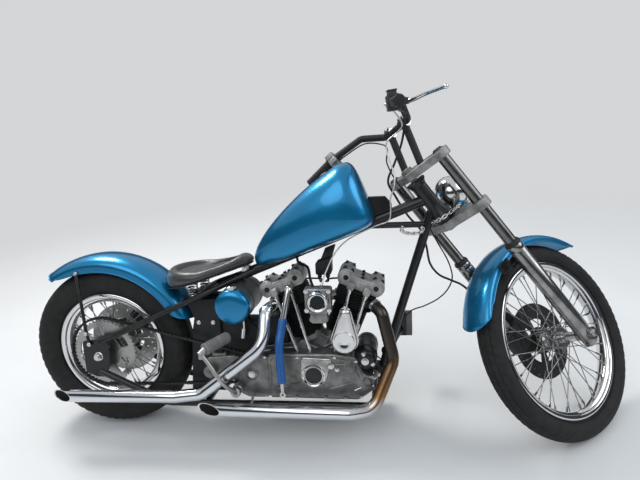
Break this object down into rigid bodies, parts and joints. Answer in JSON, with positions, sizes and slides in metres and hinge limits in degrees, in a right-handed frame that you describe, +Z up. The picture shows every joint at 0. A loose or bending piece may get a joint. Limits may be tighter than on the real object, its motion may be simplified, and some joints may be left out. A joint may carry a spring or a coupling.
{
  "type": "chopper motorcycle",
  "caption": "Rigid-frame chopper with a long raked fork, V-twin engine, wire wheels, teardrop tank, round oil tank and solo seat, leaning on its side stand.",
  "frame": {"origin": "centre of the machine's outline on the floor, as it leans on its side stand", "axes": "+X forward along the frame, +Y to the left, +Z up; the steering is turned left"},
  "size_m": [2.308, 0.5832, 1.2098],
  "materials": {
    "black": "gloss",
    "blue": "metallic gloss",
    "chrome": "polished",
    "dark": "satin",
    "engine": "cast",
    "iron": "painted",
    "leather": "soft sheen",
    "plastic": "matte",
    "rubber": "matte",
    "sleeve": "gloss",
    "steel": "satin",
    "tyre": "matte"
  },
  "bodies": {
    "frame": {"cam_cover": "engine", "carburettor": "engine", "clutch_cable": "rubber", "cylinder_barrels": "iron", "cylinder_heads": "iron", "drive_chain": "steel", "engine_case": "engine", "exhaust_pipes": "chrome", "foot_peg": "rubber", "frame_backbone": "black", "frame_cross_tubes": "black", "frame_down_tube": "black", "frame_lower_rails": "black", "frame_neck": "black", "frame_stays": "black", "fuel_tank": "blue", "generator": "steel", "ignition_coil": "plastic", "kick_starter": "steel", "oil_tank": "blue", "pear_cover": "chrome", "primary_cover": "engine", "pushrod_tubes": "chrome", "rear_axle": "chrome", "rear_caliper": "dark", "rear_fender": "blue", "rear_fender_struts": "black", "rocker_boxes": "engine", "seat": "leather", "seat_mounts": "chrome", "sleeved_lever": "sleeve", "stand_bracket": "black", "throttle_cable": "steel", "transmission_sprocket": "steel"},
    "steering": {"fork_sliders": "engine", "fork_tubes": "chrome", "lower_tree": "black", "upper_tree": "black", "front_axle": "chrome", "headlamp": "chrome", "risers": "black", "handlebar": "black", "grips": "rubber", "control_housings": "black", "hand_levers": "chrome", "front_fender": "blue", "front_caliper": "dark", "front_brake_hose": "rubber"},
    "front_wheel": {"front_tyre": "tyre", "front_rim": "chrome", "front_hub": "steel", "front_spokes": "chrome", "front_brake_disc": "dark"},
    "rear_wheel": {"rear_tyre": "tyre", "rear_rim": "chrome", "rear_hub": "steel", "rear_spokes": "chrome", "rear_brake_disc": "steel", "rear_sprocket": "steel"},
    "side_stand": {"side_stand": "black"}
  },
  "joints": [
    {"name": "steering_turn", "type": "hinge", "parent": "frame", "child": "steering", "pos_m": [0.83199, -0.04715, 0.29319], "axis": [-0.5954, 0.1049, 0.7965], "range_deg": [-90, 0], "deforming": ["clutch_cable", "throttle_cable"]},
    {"name": "front_wheel_spin", "type": "hinge", "parent": "steering", "child": "front_wheel", "pos_m": [0.85755, -0.01313, 0.30782], "axis": [-0.5681, 0.6461, -0.5097], "continuous": true},
    {"name": "rear_wheel_spin", "type": "hinge", "parent": "frame", "child": "rear_wheel", "pos_m": [-0.83209, -0.0436, 0.32014], "axis": [0, 0.9914, -0.1305], "continuous": true},
    {"name": "side_stand_fold", "type": "hinge", "parent": "frame", "child": "side_stand", "pos_m": [-0.03547, 0.07977, 0.09276], "axis": [0.1857, 0.6395, 0.7461], "range_deg": [0, 108]}
  ]
}
